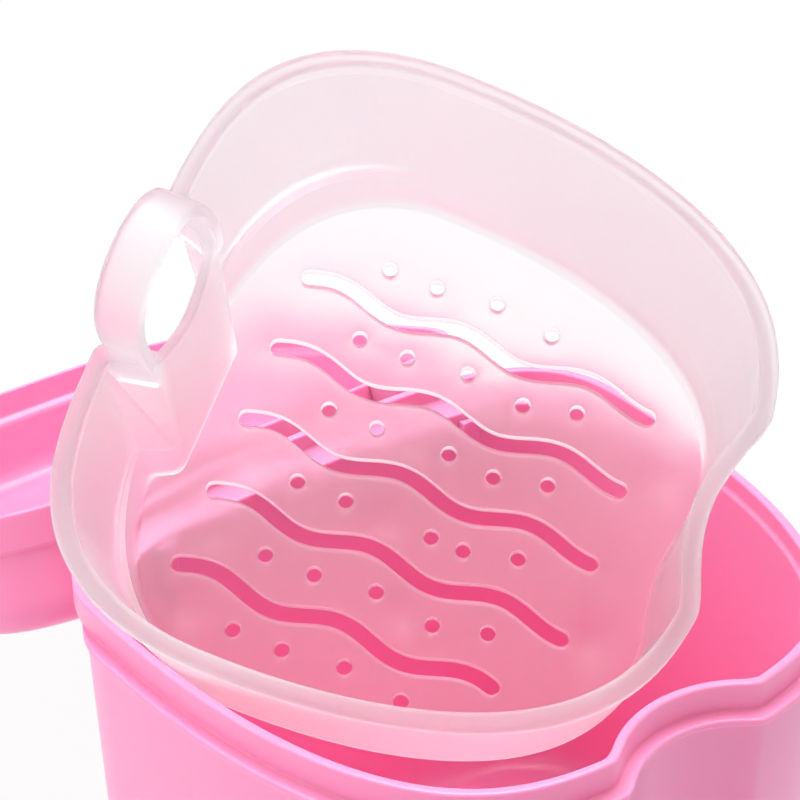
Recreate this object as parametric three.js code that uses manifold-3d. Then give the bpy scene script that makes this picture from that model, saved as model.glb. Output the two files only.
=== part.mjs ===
// Denture case: a D-shaped tub, a lid hinged on two ears at its back and a
// strainer basket that stands tilted in the tub's mouth.
// Millimetres, +Z up, +X to the front, origin at the middle of the tub's base.
import * as THREE from 'three';
import { mergeVertices } from 'three/addons/utils/BufferGeometryUtils.js';
import Module from 'manifold-3d';

const wasm = await Module();
wasm.setup();

// Fits shared by all three mouldings
const clearance = 0.3;
const overrun = 3;

// Tub: the outline of its lip, drawn from the line where the tub is widest
const tubHeight = 71;
const tubHalfWidth = 44;
const tubFrontLength = 60.46;
const tubRearLength = 19.43;
const tubRoundness = { frontX: 2.39, frontY: 3.53, rearX: 2.47, rearY: 3.64 };

// Tub: lip, neck, shoulder and wall
const lipThickness = 1.25;
const lipRound = 0.4;
const neckHeight = 4;
const shoulderWidth = 1.8;
const shoulderBead = 0.7;
const shoulderBeadHeight = 1.3;
const hingeSideInset = 2.5;
const insetStartShare = 0.06;
const insetEndShare = -0.72;
const wallTop = 2.9;
const wallBase = 2.2;
const wallDraft = 2;
const basketSeatDepth = 2.5;
const tubFloor = 2.4;
const tubFloorFillet = 6;
const tubBaseFillet = 3;

// Tub: the scallop that runs down the front
const scallopRadius = 16.2;
const scallopDepth = 4.6;

// Lid
const lidSkirtWall = 1.1;
const lidHeight = 19.2;
const lidBandHeight = 5.4;
const lidBandStep = 0.6;
const lidWall = 1.5;
const lidTop = 1.8;
const lidOuterFillet = 8;
const lidInnerFillet = 7;
const lidCrown = 0.9;
const lidCrownShares = [0.6, 0.3];

// Hinge
const openAngle = 201.4;
const axisBehindLip = 5.12;
const axisBelowLip = 2.88;
const earThickness = 3;
const earMiddle = 26;
const earRadius = 2.9;
const earHole = 1.9;
const earDepth = 12;
const stopPad = 5;
const armWidth = 4;
const barrelRadius = 2.6;
const armAboveEdge = 4.2;

// Basket: the outline of its rim bead, drawn from the line where it is widest
const basketDepth = 39.4;
const basketHalfWidth = 39.27;
const basketFrontLength = 50.29;
const basketRearLength = 25.9;
const basketRoundness = { frontX: 2.02, frontY: 3.52, rearX: 2.1, rearY: 4.37 };
const basketMidRoundness = { frontX: 2.02, frontY: 3.52, rearX: 2.04, rearY: 3.4 };
const basketLowRoundness = { frontX: 2.02, frontY: 3.5, rearX: 2.02, rearY: 2.8 };

// Basket: bead, wall, ledge and floor
const beadOut = 0.5;
const beadIn = 0.4;
const beadHeight = 2.2;
const basketWall = 1.3;
const basketFloor = 1.3;
const upperDraft = 1.3;
const lowerDraft = 0.5;
const ledgeHeight = 9.8;
const ledgeRise = 1.2;
const basketFillet = 2.6;
const basketInnerFillet = 1.8;

// Basket: front scallop, and the finger channel behind the handle
const basketScallopRadius = 20.2;
const basketScallopDepth = 3.75;
const channelDepth = 6.8;
const channelNearFoot = -9.9;
const channelNearRim = -7.7;
const channelFarFoot = 6.9;
const channelFarRim = 7.3;
const channelSideShares = [0.4, 0.62];
const channelDip = 5.8;
const channelDipRadius = 9;

// Basket: drain slots and holes on one common wave
const rowPitch = 10.68;
const slotWidth = 2.27;
const slotHalfLength = 25.74;
const waveHeight = 1.0;
const waveLength = 18.08;
const wavePhase = 2.43;
const holeDiameter = 2.07;
const holeRowShift = 0.39;
const patternShift = -0.81;
const patternBack = -0.6;
const slotRows = [2, 1, 0, -1, -2];
const slotEndShares = [[-1, 1], [-1, 1], [-1, 1], [-1, 1], [-1.01, 0.77]];
const holeRows = [2.5, 1.5, 0.5, -0.5, -1.5, -2.5];
const holeColumnShares = [-0.581, -0.313, 0.011, 0.337, 0.611];
const holeCounts = [4, 5, 5, 5, 5, 4];
const thirdHoleShiftShares = [0, 0, 0.07, 0.15, 0, 0];

// Basket: arch handle
const handleHalfWidth = 9.95;
const handleThickness = 1.55;
const handleRise = 10;
const handleLegDepth = 6;
const handleWidth = 5.7;
const handleInset = 1.5;
const handleLean = 2.3;
const handleShift = 0.83;
const handleEdge = 0.3;
const handleArchShare = 0.68;

// Basket at rest: its lean towards a compass direction, its own turn and the
// place of its floor's middle in the tub, as shares of the tub's half sizes
const leanAngle = 41.7;
const leanDirection = -37.7;
const basketTurn = 29.9;
const restForwardShare = -0.3332;
const restSideShare = 0.0521;
const restSearch = 8;

// Facets
const sideSteps = 28;
const scallopSteps = 8;
const panelSteps = 6;
const panelSideSteps = 2;
const filletSteps = 4;
const roundSegments = 20;
const holeSegments = 10;
const slotSteps = 16;
const archSteps = 18;

const tubShift = (tubFrontLength - tubRearLength) / 2;
const tubHalfLength = (tubFrontLength + tubRearLength) / 2;

const tubOutline = {
  front: tubFrontLength,
  rear: tubRearLength,
  half: tubHalfWidth,
  centre: -tubShift,
  roundness: tubRoundness,
  scallop: roundChannel(tubHalfLength - scallopDepth + scallopRadius, 0, scallopRadius),
};
const lidOutline = { ...tubOutline, scallop: null };

// Distance from the outline's origin to its edge in one direction. The edge
// is a superellipse with its own half-lengths and exponents front and rear.
function edgeDistance(outline, angle, offset) {
  const along = Math.cos(angle);
  const across = Math.sin(angle);
  let inside = 0;
  let outside = 2 * (outline.front + outline.rear + outline.half);
  for (let step = 0; step < 50; step += 1) {
    const middle = (inside + outside) / 2;
    const x = middle * along - outline.centre;
    const y = middle * across;
    const front = x >= 0;
    const length = (front ? outline.front : outline.rear) + offset;
    const powerX = front ? outline.roundness.frontX : outline.roundness.rearX;
    const powerY = front ? outline.roundness.frontY : outline.roundness.rearY;
    const value = (Math.abs(x) / length) ** powerX + (Math.abs(y) / (outline.half + offset)) ** powerY;
    if (value < 1) {
      inside = middle;
    } else {
      outside = middle;
    }
  }
  return (inside + outside) / 2;
}

// A round channel cut into the outline. Its distance along a direction is
// infinite where the direction misses it.
function roundChannel(x, y, fullRadius) {
  const distance = (angle, offset) => {
    const radius = fullRadius - offset;
    const along = Math.cos(angle) * x + Math.sin(angle) * y;
    const square = radius * radius - (Math.sin(angle) * x - Math.cos(angle) * y) ** 2;
    return along <= 0 || square <= 0 ? Infinity : along - Math.sqrt(square);
  };
  return { middle: Math.atan2(y, x), limit: Math.asin(Math.min(1, fullRadius / Math.hypot(x, y))), distance };
}

// A flat channel in the back: a panel at a distance behind the origin, between
// two widths, with sides that slope apart outwards by a share each
function flatChannel(panel, from, to, sideShares) {
  const distance = (angle) => {
    const lean = -Math.tan(angle);
    const across = panel * lean;
    const beyond = Math.max(from - across, across - to);
    if (Math.cos(angle) >= 0) {
      return Infinity;
    }
    if (beyond <= 0) {
      return -panel / Math.cos(angle);
    }
    const closing = across > to ? sideShares[1] - lean : sideShares[0] + lean;
    return closing > 0 ? -(panel + beyond / closing) / Math.cos(angle) : Infinity;
  };
  const corners = [to, from].map((width) => Math.PI - Math.atan2(width, panel));
  return { middle: (corners[0] + corners[1]) / 2, limit: Math.PI / 4, distance, corners };
}

// Direction of the corner where a channel leaves the outline: side is -1 for
// the first corner and 1 for the second, counting anticlockwise
function channelCorner(outline, channel, offset, side) {
  let inside = 0;
  let outside = channel.limit;
  for (let step = 0; step < 50; step += 1) {
    const middle = (inside + outside) / 2;
    const angle = channel.middle + side * middle;
    if (channel.distance(angle, offset) < edgeDistance(outline, angle, offset)) {
      inside = middle;
    } else {
      outside = middle;
    }
  }
  return channel.middle + side * (inside + outside) / 2;
}

// Directions of a ring's points: across the front channel, along one side,
// across the back channel and along the other side. Where there's no channel
// a narrow span takes its place.
function ringAngles(outline, frontOffset, rearOffset) {
  const narrow = Math.PI / (2 * scallopSteps);
  const { scallop, recess } = outline;
  const front = [-1, 1].map((side) => (
    scallop ? channelCorner(outline, scallop, frontOffset, side) : side * narrow
  ));
  const rear = [-1, 1].map((side) => (
    recess ? channelCorner(outline, recess, rearOffset, side) : Math.PI + side * narrow
  ));
  const panel = recess ? recess.corners : [-1, 1].map((side) => Math.PI + side * narrow / 2);
  const angles = [];
  const spans = [
    [front[0], front[1], scallopSteps],
    [front[1], rear[0], sideSteps],
    [rear[0], panel[0], panelSideSteps],
    [panel[0], panel[1], panelSteps],
    [panel[1], rear[1], panelSideSteps],
    [rear[1], 2 * Math.PI + front[0], sideSteps],
  ];
  for (const [from, to, steps] of spans) {
    for (let step = 0; step < steps; step += 1) {
      angles.push(from + (to - from) * step / steps);
    }
  }
  return angles;
}

// One closed ring of points at a height. The offset may differ round the ring:
// offsetAt gets the direction and returns how far the edge is moved outwards.
function ring(outline, z, offsetAt) {
  const at = typeof offsetAt === 'function' ? offsetAt : () => offsetAt;
  const angles = ringAngles(outline, at(0), at(Math.PI));
  return angles.map((angle) => {
    const offset = at(angle);
    const channels = [outline.scallop, outline.recess].filter((channel) => channel);
    const distances = channels.map((channel) => channel.distance(angle, offset));
    const reach = Math.min(edgeDistance(outline, angle, offset), ...distances);
    return new THREE.Vector3(reach * Math.cos(angle), reach * Math.sin(angle), z);
  });
}

// Skin over rings from bottom to top, closed by a fan at both ends
function loft(rings) {
  const count = rings[0].length;
  const positions = [];
  const index = [];
  for (const points of rings) {
    for (const point of points) {
      positions.push(point.x, point.y, point.z);
    }
  }
  for (let level = 0; level < rings.length - 1; level += 1) {
    for (let side = 0; side < count; side += 1) {
      const a = level * count + side;
      const b = level * count + (side + 1) % count;
      index.push(a, b, b + count, a, b + count, a + count);
    }
  }
  const lowest = positions.length / 3;
  positions.push(0, 0, rings[0][0].z);
  positions.push(0, 0, rings[rings.length - 1][0].z);
  const topStart = (rings.length - 1) * count;
  for (let side = 0; side < count; side += 1) {
    const next = (side + 1) % count;
    index.push(lowest, next, side);
    index.push(lowest + 1, topStart + side, topStart + next);
  }
  const geometry = new THREE.BufferGeometry();
  geometry.setAttribute('position', new THREE.Float32BufferAttribute(positions, 3));
  geometry.setIndex(index);
  return geometry;
}

// A quarter round between a wall and a floor, as [offset, height] steps that
// start on the floor at height z and end on the wall
function fillet(wallOffset, z, radius, upwards) {
  const steps = [];
  for (let step = 0; step <= filletSteps; step += 1) {
    const turn = (Math.PI / 2) * step / filletSteps;
    steps.push([wallOffset - radius * (1 - Math.sin(turn)), z + upwards * radius * (1 - Math.cos(turn))]);
  }
  return steps;
}

function solid(geometry) {
  const bare = geometry.clone();
  bare.deleteAttribute('normal');
  bare.deleteAttribute('uv');
  const merged = mergeVertices(bare);
  return new wasm.Manifold(new wasm.Mesh({
    numProp: 3,
    vertProperties: Float32Array.from(merged.attributes.position.array),
    triVerts: Uint32Array.from(merged.index.array),
  }));
}

function surface(manifold) {
  const mesh = manifold.getMesh();
  const geometry = new THREE.BufferGeometry();
  geometry.setAttribute('position', new THREE.Float32BufferAttribute(Float32Array.from(mesh.vertProperties), 3));
  geometry.setIndex(Array.from(mesh.triVerts));
  geometry.computeVertexNormals();
  return geometry;
}

function mix(first, second, share) {
  return first + (second - first) * share;
}

function smoothstep(value, start, end) {
  const share = Math.min(1, Math.max(0, (value - start) / (end - start)));
  return share * share * (3 - 2 * share);
}

// 0 on the front and the sides of the tub, 1 on its hinge side
function hingeSideShare(angle) {
  const x = Math.cos(angle) * edgeDistance(lidOutline, angle, 0);
  return smoothstep(x + tubShift, insetStartShare * tubFrontLength, insetEndShare * tubRearLength);
}

// Outward move of the tub's wall from its lip: a shoulder at the front and
// sides that turns into an inset under the lip on the hinge side
function wallOffset(angle, frontOffset) {
  return mix(frontOffset, -hingeSideInset, hingeSideShare(angle));
}

// Where the back of the outline, moved outwards by an offset, is at a width
function rearEdge(outline, offset, y) {
  const share = 1 - (y / (outline.half + offset)) ** outline.roundness.rearY;
  return outline.centre - (outline.rear + offset) * share ** (1 / outline.roundness.rearX);
}

const axisX = -tubHalfLength - axisBehindLip;
const axisZ = tubHeight - axisBelowLip;
const shoulderZ = tubHeight - neckHeight;
const skirtZ = shoulderZ + clearance;
const skirtOffset = clearance + lidSkirtWall;
const earInner = earMiddle - earThickness / 2;
const earOuter = earMiddle + earThickness / 2;

// A flat shape drawn in the XZ plane and given a width along +Y
function plateAlongY(shape, y, width, curveSegments) {
  const geometry = new THREE.ExtrudeGeometry(shape, { depth: width, bevelEnabled: false, curveSegments });
  geometry.rotateX(Math.PI / 2);
  geometry.translate(0, y + width, 0);
  return geometry;
}

// A hinge ear: boss round the pin hole, a pad that the open lid's back lies
// against and a gusset down the tub's wall
function earShape() {
  const open = THREE.MathUtils.degToRad(openAngle);
  const reach = rearEdge(lidOutline, skirtOffset, earInner) - axisX - clearance;
  const padX = axisX + reach * Math.cos(open);
  const padZ = axisZ + reach * Math.sin(open);
  const rootX = rearEdge(lidOutline, -hingeSideInset - wallTop, earOuter);
  const topAngle = Math.asin((shoulderZ - axisZ) / earRadius);
  const shape = new THREE.Shape();
  shape.moveTo(rootX, shoulderZ);
  shape.absarc(axisX, axisZ, earRadius, topAngle, Math.PI, false);
  shape.lineTo(padX, padZ);
  shape.lineTo(padX - stopPad * Math.sin(open), padZ + stopPad * Math.cos(open));
  shape.lineTo(rootX, shoulderZ - earDepth);
  const hole = new THREE.Path();
  hole.absarc(axisX, axisZ, earHole, 0, 2 * Math.PI, true);
  shape.holes.push(hole);
  return shape;
}

function tubSolid() {
  const bead = shoulderWidth - shoulderBead;
  const outerRings = [];
  for (const [offset, z] of fillet(bead - wallDraft, 0, tubBaseFillet, 1)) {
    outerRings.push(ring(tubOutline, z, (angle) => wallOffset(angle, offset) + drawnIn(angle, offset - bead)));
  }
  const beadFoot = shoulderZ - shoulderBeadHeight;
  const shoulderSteps = [
    [bead, beadFoot],
    [shoulderWidth, beadFoot + shoulderBead / 2],
    [shoulderWidth, shoulderZ - shoulderBead / 2],
    [shoulderWidth - shoulderBead / 2, shoulderZ - shoulderBead / 5],
  ];
  for (const [offset, z] of shoulderSteps) {
    outerRings.push(ring(tubOutline, z, (angle) => wallOffset(angle, offset)));
  }
  outerRings.push(ring(tubOutline, shoulderZ, 0));
  outerRings.push(ring(tubOutline, tubHeight - lipRound, 0));
  outerRings.push(ring(tubOutline, tubHeight - lipRound / 4, -lipRound / 4));
  outerRings.push(ring(tubOutline, tubHeight, -lipRound));
  let body = solid(loft(outerRings));

  for (const side of [-1, 1]) {
    const start = side > 0 ? earInner : -earOuter;
    body = body.add(solid(plateAlongY(earShape(), start, earThickness, roundSegments)));
  }
  return body.subtract(tubHollow());
}

// The base fillet draws the wall in by the same amount all round
function drawnIn(angle, offset) {
  return offset * hingeSideShare(angle);
}

function tubHollow() {
  const inner = shoulderWidth - shoulderBead - wallTop;
  const hingeSide = -hingeSideInset - wallTop;
  const taper = wallDraft + wallBase - wallTop;
  const offsetAt = (angle, draft) => mix(inner, hingeSide, hingeSideShare(angle)) + draft;
  const rings = [];
  for (const [draft, z] of fillet(-taper, tubFloor, tubFloorFillet, 1)) {
    rings.push(ring(tubOutline, z, (angle) => offsetAt(angle, draft)));
  }
  const seatZ = tubHeight - basketSeatDepth;
  rings.push(ring(tubOutline, seatZ - lipRound, (angle) => offsetAt(angle, 0)));
  rings.push(ring(tubOutline, seatZ, -lipThickness));
  rings.push(ring(tubOutline, tubHeight - lipRound, -lipThickness));
  rings.push(ring(tubOutline, tubHeight - lipRound / 4, -lipThickness + lipRound / 4));
  rings.push(ring(tubOutline, tubHeight, -lipThickness + lipRound));
  rings.push(ring(tubOutline, tubHeight + overrun, -lipThickness + lipRound));
  return solid(loft(rings));
}

// A hinge arm: a barrel round the hinge axis and the web to the lid's skirt
function armShape() {
  const reach = rearEdge(lidOutline, 0, 0) + lidWall;
  const shape = new THREE.Shape();
  shape.moveTo(reach, skirtZ);
  shape.lineTo(reach, skirtZ + armAboveEdge);
  shape.absarc(axisX, axisZ, barrelRadius, Math.PI / 2, 3 * Math.PI / 2, false);
  return shape;
}

function lidSolid() {
  const topZ = skirtZ + lidHeight;
  const edge = lidSkirtWall / 3;
  const shell = skirtOffset - lidBandStep;
  const rings = [
    ring(lidOutline, skirtZ, skirtOffset - edge),
    ring(lidOutline, skirtZ + edge, skirtOffset),
    ring(lidOutline, skirtZ + lidBandHeight - edge, skirtOffset),
    ring(lidOutline, skirtZ + lidBandHeight, skirtOffset - edge),
    ring(lidOutline, skirtZ + lidBandHeight + edge, shell),
  ];
  for (const [offset, z] of fillet(shell, topZ - lidCrown, lidOuterFillet, -1).reverse()) {
    rings.push(ring(lidOutline, z, offset));
  }
  for (const share of lidCrownShares) {
    const shrunk = ring(lidOutline, topZ - lidCrown * share * share, shell - lidOuterFillet);
    rings.push(shrunk.map((point) => new THREE.Vector3(point.x * share, point.y * share, point.z)));
  }
  let body = solid(loft(rings));

  const pinLength = armWidth / 2 + clearance + earThickness;
  for (const side of [-1, 1]) {
    const armInner = earInner - clearance - armWidth;
    const start = side > 0 ? armInner : -armInner - armWidth;
    body = body.add(solid(plateAlongY(armShape(), start, armWidth, roundSegments)));
    const pin = new THREE.CylinderGeometry(earHole - clearance, earHole - clearance, pinLength, roundSegments);
    pin.translate(axisX, side * (earOuter - pinLength / 2), axisZ);
    body = body.add(solid(pin));
  }
  return body.subtract(lidHollow());
}

function lidHollow() {
  const shell = skirtOffset - lidBandStep - lidWall;
  const seatZ = tubHeight + clearance;
  const rings = [
    ring(lidOutline, skirtZ - overrun, clearance),
    ring(lidOutline, seatZ, clearance),
    ring(lidOutline, seatZ + lidSkirtWall, shell),
  ];
  const ceilingZ = skirtZ + lidHeight - lidCrown - lidTop;
  for (const [offset, z] of fillet(shell, ceilingZ, lidInnerFillet, -1).reverse()) {
    rings.push(ring(lidOutline, z, offset));
  }
  return solid(loft(rings));
}

// Basket outlines: the whole pattern hangs on the middle of the floor
const basketCentre = -(basketFrontLength - basketRearLength) / 2;
const basketHalfLength = (basketFrontLength + basketRearLength) / 2;

function basketOutline(roundness) {
  return {
    front: basketFrontLength,
    rear: basketRearLength,
    half: basketHalfWidth,
    centre: basketCentre,
    roundness,
  };
}

const upperOutline = basketOutline(basketRoundness);
const middleOutline = basketOutline(basketMidRoundness);
const lowerOutline = basketOutline(basketLowRoundness);

// Rings of one face of the basket's wall, moved inwards by a thickness.
// Below the ledge the corners at the back are rounder than above it.
function wallRings(inwards, floorZ, radius) {
  const top = -beadOut - inwards;
  const ledge = top - upperDraft;
  const foot = ledge - lowerDraft;
  const rings = [];
  for (const [offset, z] of fillet(foot, floorZ, radius, 1)) {
    rings.push(basketRing(lowerOutline, z, offset, inwards));
  }
  rings.push(basketRing(lowerOutline, ledgeHeight, ledge, inwards));
  rings.push(basketRing(middleOutline, ledgeHeight + ledgeRise, ledge, inwards));
  return rings;
}

// The front scallop runs straight down. The finger channel has a flat panel
// and narrows towards the rim. Both move with the thickness of the wall and
// not with its draft. The bead follows the scallop but leaves out the channel.
function basketRing(outline, z, offset, inwards, bead = 0) {
  const share = Math.min(1, Math.max(0, z / basketDepth));
  const scallopX = basketHalfLength - basketScallopDepth + basketScallopRadius;
  const channels = {
    ...outline,
    scallop: roundChannel(scallopX, 0, basketScallopRadius + offset + inwards + bead),
    recess: flatChannel(
      basketHalfLength - channelDepth - inwards,
      mix(channelNearFoot, channelNearRim, share) - inwards,
      mix(channelFarFoot, channelFarRim, share) + inwards,
      channelSideShares,
    ),
  };
  return ring(channels, z, offset);
}

function wavyOffset(x) {
  return waveHeight * Math.sin(2 * Math.PI * x / waveLength + wavePhase);
}

// A drain slot that follows the wave, with round ends
function slotGeometry(row, from, to) {
  const middle = row * rowPitch + patternShift;
  const half = slotWidth / 2;
  const shape = new THREE.Shape();
  for (let step = 0; step <= slotSteps; step += 1) {
    const x = mix(from + half, to - half, step / slotSteps);
    const y = middle + wavyOffset(x) - half;
    if (step === 0) {
      shape.moveTo(x, y);
    } else {
      shape.lineTo(x, y);
    }
  }
  shape.absarc(to - half, middle + wavyOffset(to - half), half, -Math.PI / 2, Math.PI / 2, false);
  for (let step = slotSteps - 1; step > 0; step -= 1) {
    const x = mix(from + half, to - half, step / slotSteps);
    shape.lineTo(x, middle + wavyOffset(x) + half);
  }
  shape.absarc(from + half, middle + wavyOffset(from + half), half, Math.PI / 2, 3 * Math.PI / 2, false);
  const depth = basketFloor + 2 * overrun;
  const geometry = new THREE.ExtrudeGeometry(shape, { depth, bevelEnabled: false, curveSegments: filletSteps });
  geometry.translate(patternBack, 0, -basketFloor - overrun);
  return geometry;
}

function holeGeometry(x, y) {
  const radius = holeDiameter / 2;
  const geometry = new THREE.CylinderGeometry(radius, radius, basketFloor + 2 * overrun, holeSegments);
  geometry.rotateX(Math.PI / 2);
  geometry.translate(x + patternBack, y, -basketFloor / 2);
  return geometry;
}

// An arch in the YZ plane as [y, z] points from foot to foot, with z counted
// from the rim
function archPoints(halfWidth, rise) {
  const points = [[halfWidth, -handleLegDepth]];
  for (let step = 0; step <= archSteps; step += 1) {
    const turn = Math.PI * step / archSteps;
    points.push([halfWidth * Math.cos(turn), rise * Math.sin(turn) ** handleArchShare]);
  }
  points.push([-halfWidth, -handleLegDepth]);
  return points;
}

// The handle: a flat strip bent to a hoop over the finger channel. Its legs
// run on into the channel's side walls, and it leans outwards with its height.
function handleGeometry() {
  const outside = archPoints(handleHalfWidth, handleRise);
  const inside = archPoints(handleHalfWidth - handleThickness, handleRise - handleThickness);
  const points = [...outside, ...inside.reverse()];
  const shape = new THREE.Shape(points.map(([y, z]) => new THREE.Vector2(y, z)));
  const geometry = new THREE.ExtrudeGeometry(shape, {
    depth: handleWidth - 2 * handleEdge,
    bevelEnabled: true,
    bevelSize: handleEdge,
    bevelThickness: handleEdge,
    bevelOffset: -handleEdge,
    bevelSegments: 1,
  });
  const place = geometry.attributes.position;
  for (let number = 0; number < place.count; number += 1) {
    const y = place.getX(number);
    const z = place.getY(number);
    const lean = handleLean * Math.max(0, z) / handleRise;
    const x = place.getZ(number) + handleEdge + handleInset - basketHalfLength - lean;
    place.setXYZ(number, x, y + handleShift, z + basketDepth);
  }
  return geometry;
}

// The channel's own wall stops below the rim in a round dip
function dipGeometry() {
  const length = channelDepth + basketWall + 2 * clearance;
  const geometry = new THREE.CylinderGeometry(channelDipRadius, channelDipRadius, length, 2 * roundSegments);
  geometry.rotateZ(Math.PI / 2);
  const middleX = length / 2 - clearance - basketHalfLength;
  geometry.translate(middleX, 0, basketDepth - channelDip + channelDipRadius);
  return geometry;
}

function basketSolid() {
  const beadFoot = basketDepth - beadHeight;
  const edge = beadOut / 2;
  const outerRings = wallRings(0, -basketFloor, basketFillet);
  outerRings.push(basketRing(upperOutline, beadFoot - beadOut, -beadOut, 0));
  outerRings.push(basketRing(upperOutline, beadFoot, 0, 0, -beadOut));
  outerRings.push(basketRing(upperOutline, basketDepth - edge, 0, 0, -beadOut));
  outerRings.push(basketRing(upperOutline, basketDepth, -edge, 0, -edge));

  const inner = basketWall;
  const beadInner = -beadOut - basketWall - beadIn;
  const innerRings = wallRings(inner, 0, basketInnerFillet);
  innerRings.push(basketRing(upperOutline, beadFoot - beadIn, -beadOut - inner, inner));
  innerRings.push(basketRing(upperOutline, beadFoot, beadInner, inner, beadIn));
  innerRings.push(basketRing(upperOutline, basketDepth - edge, beadInner, inner, beadIn));
  innerRings.push(basketRing(upperOutline, basketDepth, beadInner + edge, inner, beadIn - edge));
  innerRings.push(basketRing(upperOutline, basketDepth + overrun, beadInner + edge, inner, beadIn - edge));

  let body = solid(loft(outerRings)).subtract(solid(loft(innerRings)));
  body = body.subtract(solid(dipGeometry())).add(solid(handleGeometry()));
  slotRows.forEach((row, number) => {
    const [from, to] = slotEndShares[number];
    body = body.subtract(solid(slotGeometry(row, from * slotHalfLength, to * slotHalfLength)));
  });
  holeRows.forEach((row, number) => {
    for (let column = 0; column < holeCounts[number]; column += 1) {
      const shift = column === 2 ? thirdHoleShiftShares[number] : 0;
      const x = (holeColumnShares[column] + shift) * slotHalfLength;
      const y = row * rowPitch + patternShift + holeRowShift + wavyOffset(x);
      body = body.subtract(solid(holeGeometry(x, y)));
    }
  });
  return body;
}

// The lid stands thrown open against the pads of the ears
function openLid(geometry) {
  const turned = geometry.clone();
  turned.translate(-axisX, 0, -axisZ);
  turned.rotateY(-THREE.MathUtils.degToRad(openAngle));
  turned.translate(axisX, 0, axisZ);
  return turned;
}

function basketTilt() {
  const direction = THREE.MathUtils.degToRad(leanDirection);
  const lean = THREE.MathUtils.degToRad(leanAngle);
  const turn = THREE.MathUtils.degToRad(basketTurn);
  const axis = new THREE.Vector3(-Math.sin(direction), Math.cos(direction), 0);
  const tilt = new THREE.Quaternion().setFromAxisAngle(axis, lean);
  return tilt.multiply(new THREE.Quaternion().setFromAxisAngle(new THREE.Vector3(0, 0, 1), turn));
}

// Lowest height at which the tilted basket still clears what it leans on
function restHeight(geometry, tilt, x, y, obstacles) {
  const hits = (z) => {
    const placed = geometry.clone();
    placed.applyQuaternion(tilt);
    placed.translate(x, y, z - clearance);
    const moved = solid(placed);
    return obstacles.some((obstacle) => obstacle.intersect(moved).volume() > 0);
  };
  let low = tubHeight - restSearch;
  let high = tubHeight + restSearch;
  for (let step = 0; step < 14; step += 1) {
    const middle = (low + high) / 2;
    if (hits(middle)) {
      low = middle;
    } else {
      high = middle;
    }
  }
  return high;
}

const pinkTub = new THREE.MeshStandardMaterial({ color: 0xfb86b8, roughness: 0.32, metalness: 0 });
const pinkLid = new THREE.MeshStandardMaterial({ color: 0xfa7fb4, roughness: 0.32, metalness: 0 });
const frosted = new THREE.MeshStandardMaterial({
  color: 0xf4e9ef, roughness: 0.45, metalness: 0, transparent: true, opacity: 0.75,
});

const tubBody = tubSolid();
const lidGeometry = openLid(surface(lidSolid()));
const basketGeometry = surface(basketSolid());

const tub = new THREE.Mesh(surface(tubBody), pinkTub);
tub.name = 'tub';

const lid = new THREE.Mesh(lidGeometry, pinkLid);
lid.name = 'lid';

const basket = new THREE.Mesh(basketGeometry, frosted);
basket.name = 'strainer_basket';
const restX = restForwardShare * tubHalfLength;
const restY = restSideShare * tubHalfWidth;
const obstacles = [tubBody, solid(lidGeometry)];
basket.quaternion.copy(basketTilt());
const restZ = restHeight(basketGeometry, basket.quaternion, restX, restY, obstacles);
basket.position.set(restX, restY, restZ);

const group = new THREE.Group();
group.add(tub, lid, basket);

export default group;
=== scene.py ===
# %% [markdown]
# # A denture case, dressed for its photograph
# The case is three plastic mouldings: a deep pink tub, a pink lid hinged on two
# ears at its back, and a frosted strainer basket that leans in the tub's mouth.
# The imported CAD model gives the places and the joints. Its walls are faceted, so
# each moulding is made again here as a fine smooth surface of the same measures.
# A Subdivision modifier on the CAD meshes would be quicker, but it would round
# the lips and ledges away, so the surfaces come from formulas in numpy arrays.

# %% Frame
import math

import bmesh
import bpy
import numpy as np
from mathutils import Matrix, Vector
from mathutils.geometry import delaunay_2d_cdt


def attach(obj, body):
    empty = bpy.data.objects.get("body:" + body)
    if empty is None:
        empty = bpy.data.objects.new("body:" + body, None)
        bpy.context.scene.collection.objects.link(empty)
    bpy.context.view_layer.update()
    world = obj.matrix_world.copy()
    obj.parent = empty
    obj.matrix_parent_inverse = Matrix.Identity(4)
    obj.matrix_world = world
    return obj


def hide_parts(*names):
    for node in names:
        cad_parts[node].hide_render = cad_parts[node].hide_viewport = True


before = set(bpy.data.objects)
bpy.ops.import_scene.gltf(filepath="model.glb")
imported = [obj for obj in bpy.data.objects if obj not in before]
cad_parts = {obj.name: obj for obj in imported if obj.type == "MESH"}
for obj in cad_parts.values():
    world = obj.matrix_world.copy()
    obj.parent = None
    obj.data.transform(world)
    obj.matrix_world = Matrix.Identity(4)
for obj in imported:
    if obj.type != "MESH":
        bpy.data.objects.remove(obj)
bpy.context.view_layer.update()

# %% [markdown]
# ## Measures
# All measures are in millimetres, as in the drawing of the part, and are turned
# into metres when a mesh is made. The outline of a piece, seen from above, is a
# superellipse: a rounded box with its own length and sharpness front and rear.
# Arcs and lines could draw it too, but a superellipse takes an offset, so the
# lip, the walls and the lid's skirt come from one outline and always nest. Names
# with EDGE or FILLET are radii, a DRAFT is a wall's slope from top to foot, and
# a MARGIN or a CROWN ring tells how far inside a corner the next ring lies.

# %% Measures of the tub and lid
MM = 0.001
CLEARANCE = 0.3

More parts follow.
